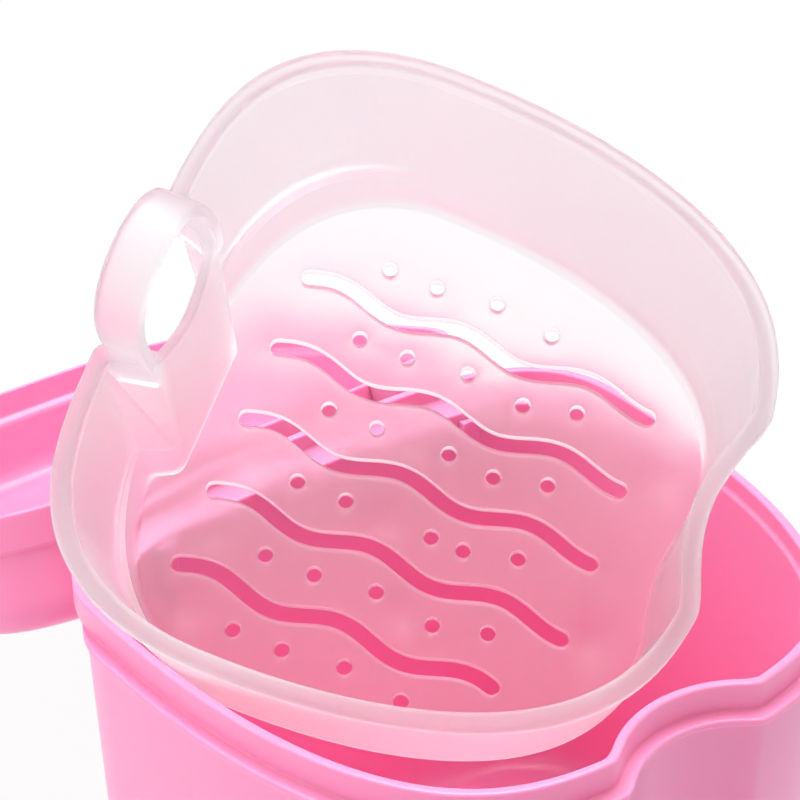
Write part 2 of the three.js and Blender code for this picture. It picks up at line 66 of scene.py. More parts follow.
TUB = dict(front=60.46, rear=19.43, half=44.0, front_power=(2.39, 3.53), rear_power=(2.47, 3.64))
TUB["centre"] = -(TUB["front"] - TUB["rear"]) / 2
TUB_HALF_LENGTH = (TUB["front"] + TUB["rear"]) / 2
TUB_HEIGHT = 71.0
SHOULDER_Z = TUB_HEIGHT - 4.0
SEAT_Z = TUB_HEIGHT - 2.5
SHOULDER, SHOULDER_BEAD, BEAD_HEIGHT = 1.8, 0.7, 1.3
LIP, LIP_EDGE = 1.25, 0.45
FINE_EDGE, BEAD_EDGE = 0.35, 0.3
STEP_RISE = 0.4
HINGE_INSET, INSET_START, INSET_END = 2.5, 0.06, -0.72
WALL_TOP, WALL_DRAFT, WALL_BASE = 2.9, 2.0, 2.2
TUB_FLOOR, BASE_FILLET, FLOOR_FILLET = 2.4, 3, 6.5
BASE_MARGIN, FLOOR_MARGIN = 6, 10
SCALLOP = dict(depth=4.6, radius=16.2, blend=0.9)

OPEN_ANGLE = math.radians(201.4)
AXIS_X = -TUB_HALF_LENGTH - 5.12
AXIS_Z = TUB_HEIGHT - 2.88
EAR = dict(middle=26.0, thick=3.0, radius=2.9, hole=1.9, depth=12, pad=5)
ARM = dict(width=4, radius=2.6, above=4.2)
PIN = dict(radius=1.6, root=2, edge=0.4, nose=((1, 0), (0.3, 0.3), (0, 1)))
ROOT = 0.6
LID_HEIGHT, LID_SKIRT, LID_WALL, LID_TOP = 19.2, 1.1, 1.5, 1.8
LID_BAND, LID_STEP, LID_SEAT_EDGE = 5.2, 0.6, 0.6
LID_FILLET_OUTSIDE, LID_FILLET_INSIDE = 8, 7
LID_CROWN, CROWN_RISE, CROWN_FILLET = 0.9, 0.3, 6
CROWN_RING, CROWN_CORE = 14, 30

# %% Measures of the strainer basket
BASKET = dict(front=50.29, rear=25.9, half=39.27)
BASKET["centre"] = -(BASKET["front"] - BASKET["rear"]) / 2
BASKET_HALF_LENGTH = (BASKET["front"] + BASKET["rear"]) / 2
BASKET_DEPTH = 39.4
BASKET_FLOOR = 1.3
BASKET_WALL = 1.3
UPPER = dict(BASKET, front_power=(2.02, 3.52), rear_power=(2.1, 4.37))
MIDDLE = dict(BASKET, front_power=(2.02, 3.52), rear_power=(2.04, 3.4))
LOWER = dict(BASKET, front_power=(2.02, 3.5), rear_power=(2.02, 2.8))
UPPER_DRAFT, LOWER_DRAFT = 1.3, 0.5
LEDGE_Z, LEDGE_EDGES = (9.9, 10.3), (0.15, 0.25)
FILLET_OUTSIDE, FILLET_INSIDE = 2.6, 0.9
RIM_OUT, RIM_IN, RIM_HEIGHT, RIM_EDGE = 0.5, 0.4, 2.2, 0.6
FRONT = dict(depth=3.75, radius=20.2, blend=1.6, growth=0.5)
CHANNEL = dict(
    depth=6.8,
    near=(-9.9, -7.7), far=(6.9, 7.3),
    near_slope=(0.4, 0.08), far_slope=(0.62, 0.5),
    near_turn=(0.328, 0.278), far_turn=(0.29, 0.3),
    side_blend=0.5, panel_blend=1.6, edge_blend=2.0,
)
DIP = dict(depth=5.4, half=8.0, above=11, start=26.0, end=30.0)
PATTERN_X, PATTERN_Y = -0.6, -0.81
ROW_PITCH, SLOT_WIDTH, SLOT_HALF = 10.68, 2.27, 25.74
WAVE_LENGTH, WAVE_PHASE = 18.08, 2.43
HOLE_RADIUS, HOLE_SHIFT = 1.035, 0.39
OPENING_EDGE = 0.25
HANDLE = dict(half=9.95, rise=10.0, thick=1.55, width=5.7, inset=1.5, foot=-8, lean=2.3, shift=0.83)
HANDLE_EDGE = 0.35
REST_PLACE = (-13.310, 2.292, 75.656)
REST_LEAN, REST_TOWARDS, REST_TURN = 41.7, -37.7, 29.9

# %% [markdown]
# ## The outline as a field
# How far a point lies outside the outline is written as one formula, a field.
# A scallop or a finger channel is a second field, and a smooth maximum of the
# two rounds the corner where they meet, as the mould's cutter did. A Boolean
# modifier would cut the same shapes, but leaves a ragged corner that shades
# badly, while a corner made in the formula is part of one smooth surface.


# %% Fields
def outline_field(outline, x, y, offset):
    """Millimetres outside the superellipse, about: the sum of |x / length| and |y / half|, each to its
    power, brought back to a length. Zero is exactly on the edge, moved outwards by the offset."""
    along = x - outline["centre"]
    front = along >= 0
    length = np.where(front, outline["front"], outline["rear"]) + offset
    power_x = np.where(front, outline["front_power"][0], outline["rear_power"][0])
    power_y = np.where(front, outline["front_power"][1], outline["rear_power"][1])
    total = np.abs(along / length) ** power_x + np.abs(y / (outline["half"] + offset)) ** power_y
    return (total ** (2 / (power_x + power_y)) - 1) * outline["half"]


def smooth_max(first, second, width):
    """The larger of two fields, rounded over a width: max + (width - gap)^2 / (4 width) where the gap is
    smaller than the width."""
    gap = np.clip(width - np.abs(first - second), 0, None)
    return np.maximum(first, second) + gap * gap / (4 * width)


def round_channel(x, y, centre_x, radius):
    """Positive inside a round channel, negative outside it: the radius less the distance to its centre."""
    return radius - np.hypot(x - centre_x, y)


# %% [markdown]
# ## Rings
# A wall is a stack of closed rings, as if it were sliced. On a ring the field is
# zero, and the place along each direction is found by halving the distance, for
# all directions at once. An extruded curve would be simpler, but its outline
# can't change with the height, as the basket's does. Directions are led to the
# corners of scallop and channel, so that lines run straight up each corner.

# %% Ring of points where a field is zero
SPAN_STEPS = (64, 176, 72, 176)


def reach(field, angles, longest=120.0, halvings=40):
    """Distance from the origin to where the field turns positive, found by halving."""
    inside = np.zeros_like(angles)
    outside = np.full_like(angles, longest)
    for _ in range(halvings):
        middle = (inside + outside) / 2
        below = field(middle * np.cos(angles), middle * np.sin(angles), angles) < 0
        inside = np.where(below, middle, inside)
        outside = np.where(below, outside, middle)
    return (inside + outside) / 2


def spread(corners, even=0.45):
    """Directions of a ring's points between four corner directions, closer together near the corners: a
    share of them evenly, the rest as (1 - cos) / 2."""
    ends = list(corners) + [corners[0] + 2 * math.pi]
    spans = []
    for number, steps in enumerate(SPAN_STEPS):
        share = np.arange(steps) / steps
        share = even * share + (1 - even) * (1 - np.cos(math.pi * share)) / 2
        spans.append(ends[number] + (ends[number + 1] - ends[number]) * share)
    return np.concatenate(spans)


def ring(field, z, corners):
    """One closed ring of points at a height, as an array of N rows of x, y, z."""
    angles = spread(corners)
    distance = reach(field, angles)
    return np.stack([distance * np.cos(angles), distance * np.sin(angles), np.full_like(angles, z)], axis=1)


# %% [markdown]
# ## Soft edges
# Moulded plastic has no sharp edges. A Bevel modifier could round them, but it
# gives every edge the same width and makes slivers on a dense wall. So a profile
# is given as rings with a radius each, and every ring with a radius is replaced
# by a short curve that leaves one wall and arrives on the next. Rows beside the
# curve keep the walls' shading flat.


# %% Rounding and filling a stack of rings
def soften(rings, radii, steps=5):
    """Replaces ring P between A and B by the parabola (1-t)^2 P1 + 2t(1-t) P + t^2 P2, point by point. P1
    and P2 lie a radius away towards A and B, with one more row a little further on each side."""
    rows = []
    for number, (points, radius) in enumerate(zip(rings, radii)):
        if radius == 0 or number in (0, len(rings) - 1):
            rows.append(points)
            continue
        legs = []
        for other in (rings[number - 1], rings[number + 1]):
            leg = other - points
            length = np.linalg.norm(leg, axis=1, keepdims=True) + 1e-9
            legs.append((leg / length, length))
        (towards_a, length_a), (towards_b, length_b) = legs
        near_a = np.minimum(radius, 0.4 * length_a)
        near_b = np.minimum(radius, 0.4 * length_b)
        start, end = points + towards_a * near_a, points + towards_b * near_b
        rows.append(points + towards_a * np.minimum(near_a * 1.25, 0.46 * length_a))
        for t in np.linspace(0, 1, steps + 1):
            rows.append((1 - t) ** 2 * start + 2 * t * (1 - t) * points + t * t * end)
        rows.append(points + towards_b * np.minimum(near_b * 1.25, 0.46 * length_b))
    return rows


def fill_rows(rows, spacing=3.0):
    """Adds even rows wherever two rows lie further apart than the spacing."""
    full = [rows[0]]
    for before, after in zip(rows, rows[1:]):
        count = int(np.linalg.norm(after - before, axis=1).mean() // spacing) + 1
        for step in range(1, count + 1):
            full.append(before + (after - before) * step / count)
    return full


# %% [markdown]
# ## From points to a mesh
# Blender can build a mesh with operators, step by step, or take it whole as
# lists of points and faces. The lists are quicker and don't depend on what is
# selected. A stack of rings becomes quads between neighbours, and where it ends
# in a flat face, a point in its middle closes it with a fan.


# %% Meshes from arrays
def grid_faces(row_count, ring_count):
    """Quads between neighbouring rows and points of closed rings, as an array of corner numbers."""
    row, side = np.meshgrid(np.arange(row_count - 1), np.arange(ring_count), indexing="ij")
    a = row * ring_count + side
    b = row * ring_count + (side + 1) % ring_count
    return np.stack([a, b, b + ring_count, a + ring_count], axis=-1).reshape(-1, 4)


def stack(rows, closed=(True, True)):
    """Points, quads and triangles of a stack of rings, fanned to its middle at the ends that are closed."""
    points = np.concatenate(rows)
    count = len(rows[0])
    quads = grid_faces(len(rows), count)
    triangles = []
    side = np.arange(count)
    ends = ((rows[0], 0, -1), (rows[-1], (len(rows) - 1) * count, 1))
    for is_closed, (row, start, step) in zip(closed, ends):
        if not is_closed:
            continue
        pair = np.stack([start + side, start + (side + 1) % count], axis=1)[:, ::step]
        triangles.append(np.column_stack([pair, np.full(count, len(points))]))
        points = np.vstack([points, row.mean(axis=0)])
    triangles = np.concatenate(triangles) if triangles else np.zeros((0, 3), int)
    return points, quads, triangles


def joined(parts):
    """Several sets of points, quads and triangles as one, with the corner numbers moved on."""
    points, quads, triangles, base = [], [], [], 0
    for part_points, part_quads, part_triangles in parts:
        points.append(part_points)
        quads.append(part_quads + base)
        triangles.append(part_triangles + base)
        base += len(part_points)
    return np.concatenate(points), np.concatenate(quads), np.concatenate(triangles)


def make_piece(name, shape, material, sharp_degrees=40, painted_glow=None):
    """A Blender object from points in millimetres, its doubles merged and shaded smooth apart from its
    sharp edges. The optional glow is a value from 0 to 1 for each point, kept for the material, which paints
    a highlight with it."""
    points, quads, triangles = shape
    mesh = bpy.data.meshes.new(name)
    mesh.from_pydata((points * MM).tolist(), [], quads.tolist() + triangles.tolist())
    mesh.validate()
    if painted_glow is not None:
        mesh.attributes.new("painted_glow", "FLOAT", "POINT").data.foreach_set("value", painted_glow)
    piece = bpy.data.objects.new(name, mesh)
    bpy.context.scene.collection.objects.link(piece)
    mesh.materials.append(material)
    weld(mesh)
    mesh.shade_smooth()
    mesh.set_sharp_from_angle(angle=math.radians(sharp_degrees))
    print(name, len(mesh.vertices), "points", len(mesh.polygons), "faces")
    return piece


def weld(mesh, distance=2e-6):
    """Merges points that lie in the same place."""
    work = bmesh.new()
    work.from_mesh(mesh)
    bmesh.ops.remove_doubles(work, verts=work.verts, dist=distance)
    work.to_mesh(mesh)
    work.free()


# %% [markdown]
# ## Plates with holes
# Ears, arms, the basket's floor and its handle are flat plates, some with
# openings. A face with holes could be left to Blender's own fill, but that
# makes long thin triangles. A constrained Delaunay triangulation fills the
# outline evenly and leaves the openings, and rows down the edges round them.


# %% Filling an outline with openings
def normals_of(loop):
    """Outward unit normals of an anticlockwise loop: the chord past each point, turned right."""
    chord = np.roll(loop, -1, axis=0) - np.roll(loop, 1, axis=0)
    turned = np.stack([chord[:, 1], -chord[:, 0]], axis=1)
    return turned / (np.linalg.norm(turned, axis=1, keepdims=True) + 1e-12)


def is_inside(points, loop):
    """For each point, whether a ray along +x crosses the loop an odd number of times."""
    x, y = points[:, :1], points[:, 1:2]
    ax, ay = loop[:, 0], loop[:, 1]
    bx, by = np.roll(ax, -1), np.roll(ay, -1)
    crosses = (ay > y) != (by > y)
    at = ax + (y - ay) * (bx - ax) / np.where(by == ay, 1e-12, by - ay)
    return (crosses & (x < at)).sum(axis=1) % 2 == 1


def filled(outer, openings):
    """Points and triangles of the region inside one loop and outside the others, given as x and y."""
    loops = [outer] + list(openings)
    flat = np.concatenate(loops)
    edges, base = [], 0
    for loop in loops:
        edges += [(base + i, base + (i + 1) % len(loop)) for i in range(len(loop))]
        base += len(loop)
    made = delaunay_2d_cdt([Vector(p) for p in flat], edges, [], 0, 1e-7)
    points = np.array([(p.x, p.y) for p in made[0]])
    triangles = np.array(made[2])
    middle = points[triangles].mean(axis=1)
    keep = is_inside(middle, outer)
    for opening in openings:
        keep &= ~is_inside(middle, opening)
    triangles = triangles[keep]
    a, b, c = (points[triangles[:, k]] for k in range(3))
    turn = (b[:, 0] - a[:, 0]) * (c[:, 1] - a[:, 1]) - (b[:, 1] - a[:, 1]) * (c[:, 0] - a[:, 0])
    triangles = np.where(turn[:, None] > 0, triangles, triangles[:, ::-1])
    return points, triangles


def edge_rows(loop, low, high, edge, steps=3):
    """Rows down the rim of a plate between two heights, with a quarter round at each: the loop is drawn in
    by edge (1 - sin t) where it has climbed edge (1 - cos t). A negative edge is that of an opening."""
    out = normals_of(loop)
    quarter = np.linspace(0, math.pi / 2, steps + 1)
    rows = []
    for start, side, turns in ((low, 1, quarter), (high, -1, quarter[::-1])):
        for t in turns:
            drawn = loop - out * edge * (1 - math.sin(t))
            rows.append(np.column_stack([drawn, np.full(len(loop), start + side * edge * (1 - math.cos(t)))]))
    return rows


def rim_band(rows, step):
    """The quads of a rim, with their corners in order (1) or turned round for an opening (-1)."""
    quads = grid_faces(len(rows), len(rows[0]))
    return np.concatenate(rows), quads[:, ::step], np.zeros((0, 3), int)


def plate(outer, openings, low, high, edge):
    """A plate in the XY plane from anticlockwise loops: rim rows for each loop, and both faces filled."""
    rims = [edge_rows(outer, low, high, edge)]
    rims += [edge_rows(loop, low, high, -edge) for loop in openings]
    parts = [rim_band(rims[0], 1)] + [rim_band(rows, -1) for rows in rims[1:]]
    for row, z, step in ((0, low, -1), (-1, high, 1)):
        points, triangles = filled(rims[0][row][:, :2], [rows[row][:, :2] for rows in rims[1:]])
        lifted = np.column_stack([points, np.full(len(points), z)])
        parts.append((lifted, np.zeros((0, 4), int), triangles[:, ::step]))
    return joined(parts)


# %% [markdown]
# ## Finishes
# Two plastics: a glossy pink polypropylene that glows a little at its edges, and
# a frosted natural one. Both have the fine, soft unevenness of a moulded skin.
# A picture of scratches and grain could give that, but it needs an unwrapped
# surface and shows its seams. Noise in object coordinates has none, and as one
# shared node group it gives both plastics the same skin.


# %% Shared group: moulded skin
def moulded_skin():
    """A group that gives a bump height and a roughness, from slow waves of shrinkage and a fine grain."""
    group = bpy.data.node_groups.new("moulded_skin", "ShaderNodeTree")
    for name, value in (("Wave", 1.0), ("Grain", 1.0), ("Roughness", 0.3), ("Spread", 0.05)):
        socket = group.interface.new_socket(name, in_out="INPUT", socket_type="NodeSocketFloat")
        socket.default_value = value
    for name in ("Height", "Roughness"):
        group.interface.new_socket(name, in_out="OUTPUT", socket_type="NodeSocketFloat")
    nodes, links = group.nodes, group.links
    inside, outside = nodes.new("NodeGroupInput"), nodes.new("NodeGroupOutput")
    place = nodes.new("ShaderNodeTexCoord")
    slow, fine = nodes.new("ShaderNodeTexNoise"), nodes.new("ShaderNodeTexNoise")
    for noise, scale, detail in ((slow, 55, 1), (fine, 2600, 2)):
        noise.inputs["Scale"].default_value = scale
        noise.inputs["Detail"].default_value = detail
        links.new(place.outputs["Object"], noise.inputs["Vector"])
    wave, grain, total = (nodes.new("ShaderNodeMath") for _ in range(3))
    wave.operation = grain.operation = "MULTIPLY"
    total.operation = "ADD"
    links.new(slow.outputs["Fac"], wave.inputs[0])
    links.new(inside.outputs["Wave"], wave.inputs[1])
    links.new(fine.outputs["Fac"], grain.inputs[0])
    links.new(inside.outputs["Grain"], grain.inputs[1])
    links.new(wave.outputs[0], total.inputs[0])
    links.new(grain.outputs[0], total.inputs[1])
    links.new(total.outputs[0], outside.inputs["Height"])
    centred, rough = nodes.new("ShaderNodeMath"), nodes.new("ShaderNodeMath")
    centred.operation, centred.inputs[1].default_value = "SUBTRACT", 0.5
    rough.operation = "MULTIPLY_ADD"
    links.new(slow.outputs["Fac"], centred.inputs[0])
    links.new(centred.outputs[0], rough.inputs[0])
    links.new(inside.outputs["Spread"], rough.inputs[1])
    links.new(inside.outputs["Roughness"], rough.inputs[2])
    links.new(rough.outputs[0], outside.inputs["Roughness"])
    return group


SKIN = moulded_skin()


# %% Materials
def plastic(name, colour, roughness, wave, grain, bump, **sockets):
    """A Principled plastic: the skin group feeds its bump and roughness, and the rest are plain sockets."""
    material = bpy.data.materials.new(name)
    material.use_nodes = True
    nodes, links = material.node_tree.nodes, material.node_tree.links
    shader = nodes["Principled BSDF"]
    shader.inputs["Base Color"].default_value = (*colour, 1)
    for socket, value in sockets.items():
        shader.inputs[socket.replace("_", " ")].default_value = value
    skin, bumps = nodes.new("ShaderNodeGroup"), nodes.new("ShaderNodeBump")
    skin.node_tree = SKIN
    skin.inputs["Wave"].default_value = wave
    skin.inputs["Grain"].default_value = grain
    skin.inputs["Roughness"].default_value = roughness
    bumps.inputs["Strength"].default_value = 1
    bumps.inputs["Distance"].default_value = bump
    links.new(skin.outputs["Height"], bumps.inputs["Height"])
    links.new(skin.outputs["Roughness"], shader.inputs["Roughness"])
    links.new(bumps.outputs["Normal"], shader.inputs["Normal"])
    return material


PINK = plastic(
    "pink_polypropylene", (0.98, 0.33, 0.57), 0.3, 1.0, 0.05, 0.00012,
    Subsurface_Weight=0.8, Subsurface_Scale=0.0015, Subsurface_Radius=(1.0, 0.5, 0.65), IOR=1.49,
)
# The low index of refraction lets the camera look through both faces of a thin wall without a strong shift
FROSTED = plastic(
    "frosted_polypropylene", (0.925, 0.895, 0.915), 0.49, 1.0, 0.15, 0.0001,
    Transmission_Weight=0.91, IOR=1.25,
)


# %% [markdown]
# Light that reaches the tub through the frosted tray would need very many
# samples to be smooth, and a plain glass shadow is black. So for shadow and
# diffuse rays the frosted plastic is mixed with a clear surface. The tray's
# ledge catches the light from above as a bright band. That highlight is
# painted on the points as a glow value, which adds a little light of its own.


# %% What frosted plastic does with light
def passes_light(material, share):
    """Lets a share of the light through to what lies behind, for shadow and diffuse rays only."""
    nodes, links = material.node_tree.nodes, material.node_tree.links
    clear, mix = nodes.new("ShaderNodeBsdfTransparent"), nodes.new("ShaderNodeMixShader")
    path = nodes.new("ShaderNodeLightPath")
    either, part = (nodes.new("ShaderNodeMath") for _ in range(2))
    either.operation, part.operation = "MAXIMUM", "MULTIPLY"
    part.inputs[1].default_value = share
    links.new(path.outputs["Is Shadow Ray"], either.inputs[0])
    links.new(path.outputs["Is Diffuse Ray"], either.inputs[1])
    links.new(either.outputs[0], part.inputs[0])
    links.new(part.outputs[0], mix.inputs["Fac"])
    links.new(nodes["Principled BSDF"].outputs[0], mix.inputs[1])
    links.new(clear.outputs[0], mix.inputs[2])
    links.new(mix.outputs[0], nodes["Material Output"].inputs["Surface"])


def paint_ledge_highlight(material, colour):
    """Paints a highlight: a glow of the plastic's own, in the given colour, where the point attribute for the
    ledge is high.
    """
    nodes, links = material.node_tree.nodes, material.node_tree.links
    painted_glow, tint = nodes.new("ShaderNodeAttribute"), nodes.new("ShaderNodeVectorMath")
    painted_glow.attribute_name = "painted_glow"
    tint.operation, tint.inputs[1].default_value = "MULTIPLY", colour
    links.new(painted_glow.outputs["Color"], tint.inputs[0])
    links.new(tint.outputs[0], nodes["Principled BSDF"].inputs["Emission Color"])
    nodes["Principled BSDF"].inputs["Emission Strength"].default_value = 1.0


passes_light(FROSTED, 0.99)
# Painted highlight on the ledge: a faint glow in this colour
paint_ledge_highlight(FROSTED, (0.2, 0.19, 0.2))

# %% [markdown]
# ## The tub
# The tub is a deep moulding with a thin lip, on which the lid's skirt slides, and
# a beaded shoulder at the front and sides. Towards the hinge the shoulder fades
# into an inset. A box with a Solidify modifier would have one wall thickness
# all over, so the profile is a stack of rings instead. Every ring's offset is
# blended between front and hinge by how far back a direction points.


# %% Tub rings
CORNER_SHARE, HINGE_TURN = 0.98, 0.45


def eased(value, start, end):
    """The smooth step 3s^2 - 2s^3 of the share s between start and end."""
    share = np.clip((value - start) / (end - start), 0, 1)
    return share * share * (3 - 2 * share)


def hinge_share(angles):
    """0 at the front and sides of the tub, 1 on its hinge side."""
    edge = reach(lambda x, y, a: outline_field(TUB, x, y, 0), angles) * np.cos(angles)
    return eased(edge - TUB["centre"], INSET_START * TUB["front"], INSET_END * TUB["rear"])


def tub_ring(front_offset, hinge_offset, z, scallop=True):
    """A ring of the tub: the outline moved out by an offset that changes from front to hinge side."""
    centre_x = TUB_HALF_LENGTH - SCALLOP["depth"] + SCALLOP["radius"]
    radius = SCALLOP["radius"] - front_offset

    def field(x, y, angles):
        offset = front_offset
        if hinge_offset != front_offset:
            offset = front_offset + (hinge_offset - front_offset) * hinge_share(angles)
        edge = outline_field(TUB, x, y, offset)
        if not scallop:
            return edge
        return smooth_max(edge, round_channel(x, y, centre_x, radius), SCALLOP["blend"])

    half_width = math.sqrt(max(radius**2 - (radius - SCALLOP["depth"]) ** 2, 1))
    corner = math.atan2(half_width * CORNER_SHARE, TUB_HALF_LENGTH)
    return ring(field, z, (-corner, corner, math.pi - HINGE_TURN, math.pi + HINGE_TURN))


# %% Tub profile from the middle of its base, up the outside, over the lip and down to the floor inside
# Each row is an offset in front, an offset at the hinge, a height and the radius of the corner there
outer = SHOULDER - SHOULDER_BEAD
inner = outer - WALL_TOP
taper = WALL_DRAFT + WALL_BASE - WALL_TOP
base, hinge_base = outer - WALL_DRAFT, -HINGE_INSET - WALL_DRAFT
hinge_inner = -HINGE_INSET - WALL_TOP
floor, hinge_floor = inner - taper, hinge_inner - taper
tub_profile = [
    (base - BASE_MARGIN, hinge_base - BASE_MARGIN, 0, 0),
    (base, hinge_base, 0, BASE_FILLET),
    (outer, -HINGE_INSET, SHOULDER_Z - BEAD_HEIGHT, FINE_EDGE),
    (SHOULDER, -HINGE_INSET, SHOULDER_Z - BEAD_HEIGHT + FINE_EDGE, BEAD_EDGE),
    (SHOULDER, -HINGE_INSET, SHOULDER_Z, LIP_EDGE),
    (0, 0, SHOULDER_Z, FINE_EDGE),
    (0, 0, TUB_HEIGHT, LIP_EDGE),
    (-LIP, -LIP, TUB_HEIGHT, LIP_EDGE),
    (-LIP, -LIP, SEAT_Z, BEAD_EDGE),
    (inner, hinge_inner, SEAT_Z - STEP_RISE, STEP_RISE),
    (floor, hinge_floor, TUB_FLOOR, FLOOR_FILLET),
    (floor - FLOOR_MARGIN, hinge_floor - FLOOR_MARGIN, TUB_FLOOR, 0),
]
tub_rings = [tub_ring(front, hinge, z) for front, hinge, z, _ in tub_profile]
tub_rows = fill_rows(soften(tub_rings, [radius for *_, radius in tub_profile]))
print("tub rows", len(tub_rows), "points in a ring", len(tub_rows[0]))


# %% [markdown]
# ## Hinge
# Two ears on the tub carry the lid's stub pins, which snap into their holes. Each
# ear has a pad below its boss, which the back of the open lid lies against. The
# ears could be joined to the tub's mesh, but light that scatters under the skin
# goes dark where two walls of one object cross. So they are an object of their
# own, and so are the lid's arms.


# %% Side view shapes of the hinge
def arc(centre, radius, start, end, steps=24):
    """Points on a circle between two angles."""
    turn = np.linspace(start, end, steps + 1)
    return np.stack([centre[0] + radius * np.cos(turn), centre[1] + radius * np.sin(turn)], axis=1)


def rear_edge(offset, y):
    """Where the back of the tub's outline, moved out by an offset, stands at a width."""
    power_x, power_y = TUB["rear_power"]
    share = 1 - (y / (TUB["half"] + offset)) ** power_y
    return TUB["centre"] - (TUB["rear"] + offset) * share ** (1 / power_x)


def upright(shape, y):
    """Turns a plate from the XY plane into XZ and moves it to a width: (x, y, z) becomes (x, y0 - z, y)."""
    points, quads, triangles = shape
    turned = np.stack([points[:, 0], y - points[:, 2], points[:, 1]], axis=1)
    return turned, quads, triangles


def circle(centre, radius, points=24):
    """A closed loop of points on a circle."""
    return arc(centre, radius, 0, 2 * math.pi, points)[:-1]


SKIRT_Z = SHOULDER_Z + CLEARANCE
SKIRT = CLEARANCE + LID_SKIRT
axis = np.array([AXIS_X, AXIS_Z])
ear_inner, ear_outer = EAR["middle"] - EAR["thick"] / 2, EAR["middle"] + EAR["thick"] / 2
along = np.array([math.cos(OPEN_ANGLE), math.sin(OPEN_ANGLE)])
across = np.array([-along[1], along[0]])
pad = axis + along * (rear_edge(SKIRT, ear_inner) - AXIS_X - CLEARANCE)
ear_root = rear_edge(-HINGE_INSET - WALL_TOP, ear_outer) + ROOT
ear_loop = np.vstack([
    [[ear_root, SHOULDER_Z]],
    arc(axis, EAR["radius"], math.asin((SHOULDER_Z - AXIS_Z) / EAR["radius"]), math.pi),
    [pad, pad + EAR["pad"] * across, (ear_root, SHOULDER_Z - EAR["depth"])],
])
ear_plate = plate(ear_loop, [circle(axis, EAR["hole"])], 0, EAR["thick"], BEAD_EDGE)
ears = [upright(ear_plate, side) for side in (ear_outer, -ear_inner)]
tub_piece = make_piece("tub_shell", stack(tub_rows), PINK)
ears_piece = make_piece("tub_ears", joined(ears), PINK)
for piece in (tub_piece, ears_piece):
    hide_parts("tub")
    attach(piece, "tub")

# %% [markdown]
# ## The lid
# A shallow cover with a stepped skirt. The lid could be drawn open, in a slanting
# frame of its own, but then every height is hard to read. So it is drawn shut,
# on the tub, and turned about the hinge axis to where the photograph shows it.

# %% Lid
# Each row is an offset, a height and the radius of the corner there
shell = SKIRT - LID_STEP
top_z = SKIRT_Z + LID_HEIGHT
ceiling_z = top_z - LID_CROWN - LID_TOP
lid_profile = [
    (shell - LID_WALL - CROWN_RING, ceiling_z, 0),
    (shell - LID_WALL, ceiling_z, LID_FILLET_INSIDE),
    (shell - LID_WALL, TUB_HEIGHT + CLEARANCE + LID_SKIRT, LID_SEAT_EDGE),
    (CLEARANCE, TUB_HEIGHT + CLEARANCE, BEAD_EDGE),
    (CLEARANCE, SKIRT_Z, FINE_EDGE),
    (SKIRT, SKIRT_Z, FINE_EDGE),
    (SKIRT, SKIRT_Z + LID_BAND, FINE_EDGE),
    (shell, SKIRT_Z + LID_BAND + STEP_RISE, BEAD_EDGE),
    (shell, top_z - LID_CROWN, LID_FILLET_OUTSIDE),
    (shell - CROWN_RING, top_z - LID_CROWN + CROWN_RISE, CROWN_FILLET),
    (shell - CROWN_CORE, top_z, 0),
]
lid_rings = [tub_ring(offset, offset, z, scallop=False) for offset, z, _ in lid_profile]
lid_rows = fill_rows(soften(lid_rings, [radius for *_, radius in lid_profile], steps=8))


def opened(shape):
    """Turns points about the hinge axis by the open angle: x to x cos a - z sin a, z to x sin a + z cos a."""
    points, quads, triangles = shape
    x, z = points[:, 0] - AXIS_X, points[:, 2] - AXIS_Z
    cos, sin = math.cos(OPEN_ANGLE), math.sin(OPEN_ANGLE)
    moved = np.stack([AXIS_X + x * cos - z * sin, points[:, 1], AXIS_Z + x * sin + z * cos], axis=1)
    return moved, quads, triangles


def pin(side, points=32):
    """A stub pin along Y: a stack of circles about the hinge axis, with a rounded outer end."""
    turn = np.linspace(0, 2 * math.pi, points + 1)[:-1]
    radius, edge = PIN["radius"], PIN["edge"]
    length = PIN["root"] + CLEARANCE + EAR["thick"]
    steps = [(0, radius)] + [(length - edge * back, radius - edge * drawn) for back, drawn in PIN["nose"]]
    rows = []
    for reached, r in steps:
        y = side * (ear_outer - length + reached)
        x, z = AXIS_X + r * np.cos(turn), AXIS_Z - side * r * np.sin(turn)
        rows.append(np.stack([x, np.full(points, y), z], axis=1))
    return stack(rows)


arm_side = ear_inner - CLEARANCE
arm_x = rear_edge(CLEARANCE, arm_side) - ROOT
arm_loop = np.vstack([
    arc(axis, ARM["radius"], math.pi / 2, 3 * math.pi / 2),
    [(arm_x, SKIRT_Z), (arm_x, SKIRT_Z + ARM["above"])],
])
arm_plate = plate(arm_loop, [], 0, ARM["width"], FINE_EDGE)
arms = [upright(arm_plate, end) for end in (arm_side, ARM["width"] - arm_side)]
lid_piece = make_piece("lid_shell", opened(stack(lid_rows)), PINK)
arms_piece = make_piece("lid_arms", opened(joined(arms + [pin(1), pin(-1)])), PINK)
for piece in (lid_piece, arms_piece):
    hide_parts("lid")
    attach(piece, "lid")

# %% [markdown]
# ## The strainer basket
# The frosted tray is the skilled part: a wall that changes its corners at a
# ledge, a front scallop, a flat finger channel at the back, a rim bead, and a
# floor with wavy slots and holes. Cut from a block with Boolean modifiers, it
# would have a seam at every cut, and frosted plastic shows each seam twice. So
# its wall is one stack of rings and its floor a filled plane, and the two share
# the ring of points where they meet.


# %% Basket rings
def scallop_radius(share, inwards, bead):
    """The front scallop's radius, which moves with the wall's thickness and grows a little to the floor."""
    return FRONT["radius"] + inwards + bead + FRONT["growth"] * (1 - share)


def between(ends, share):
    """The value at a share of the way from the first end to the second."""
    return ends[0] + (ends[1] - ends[0]) * share


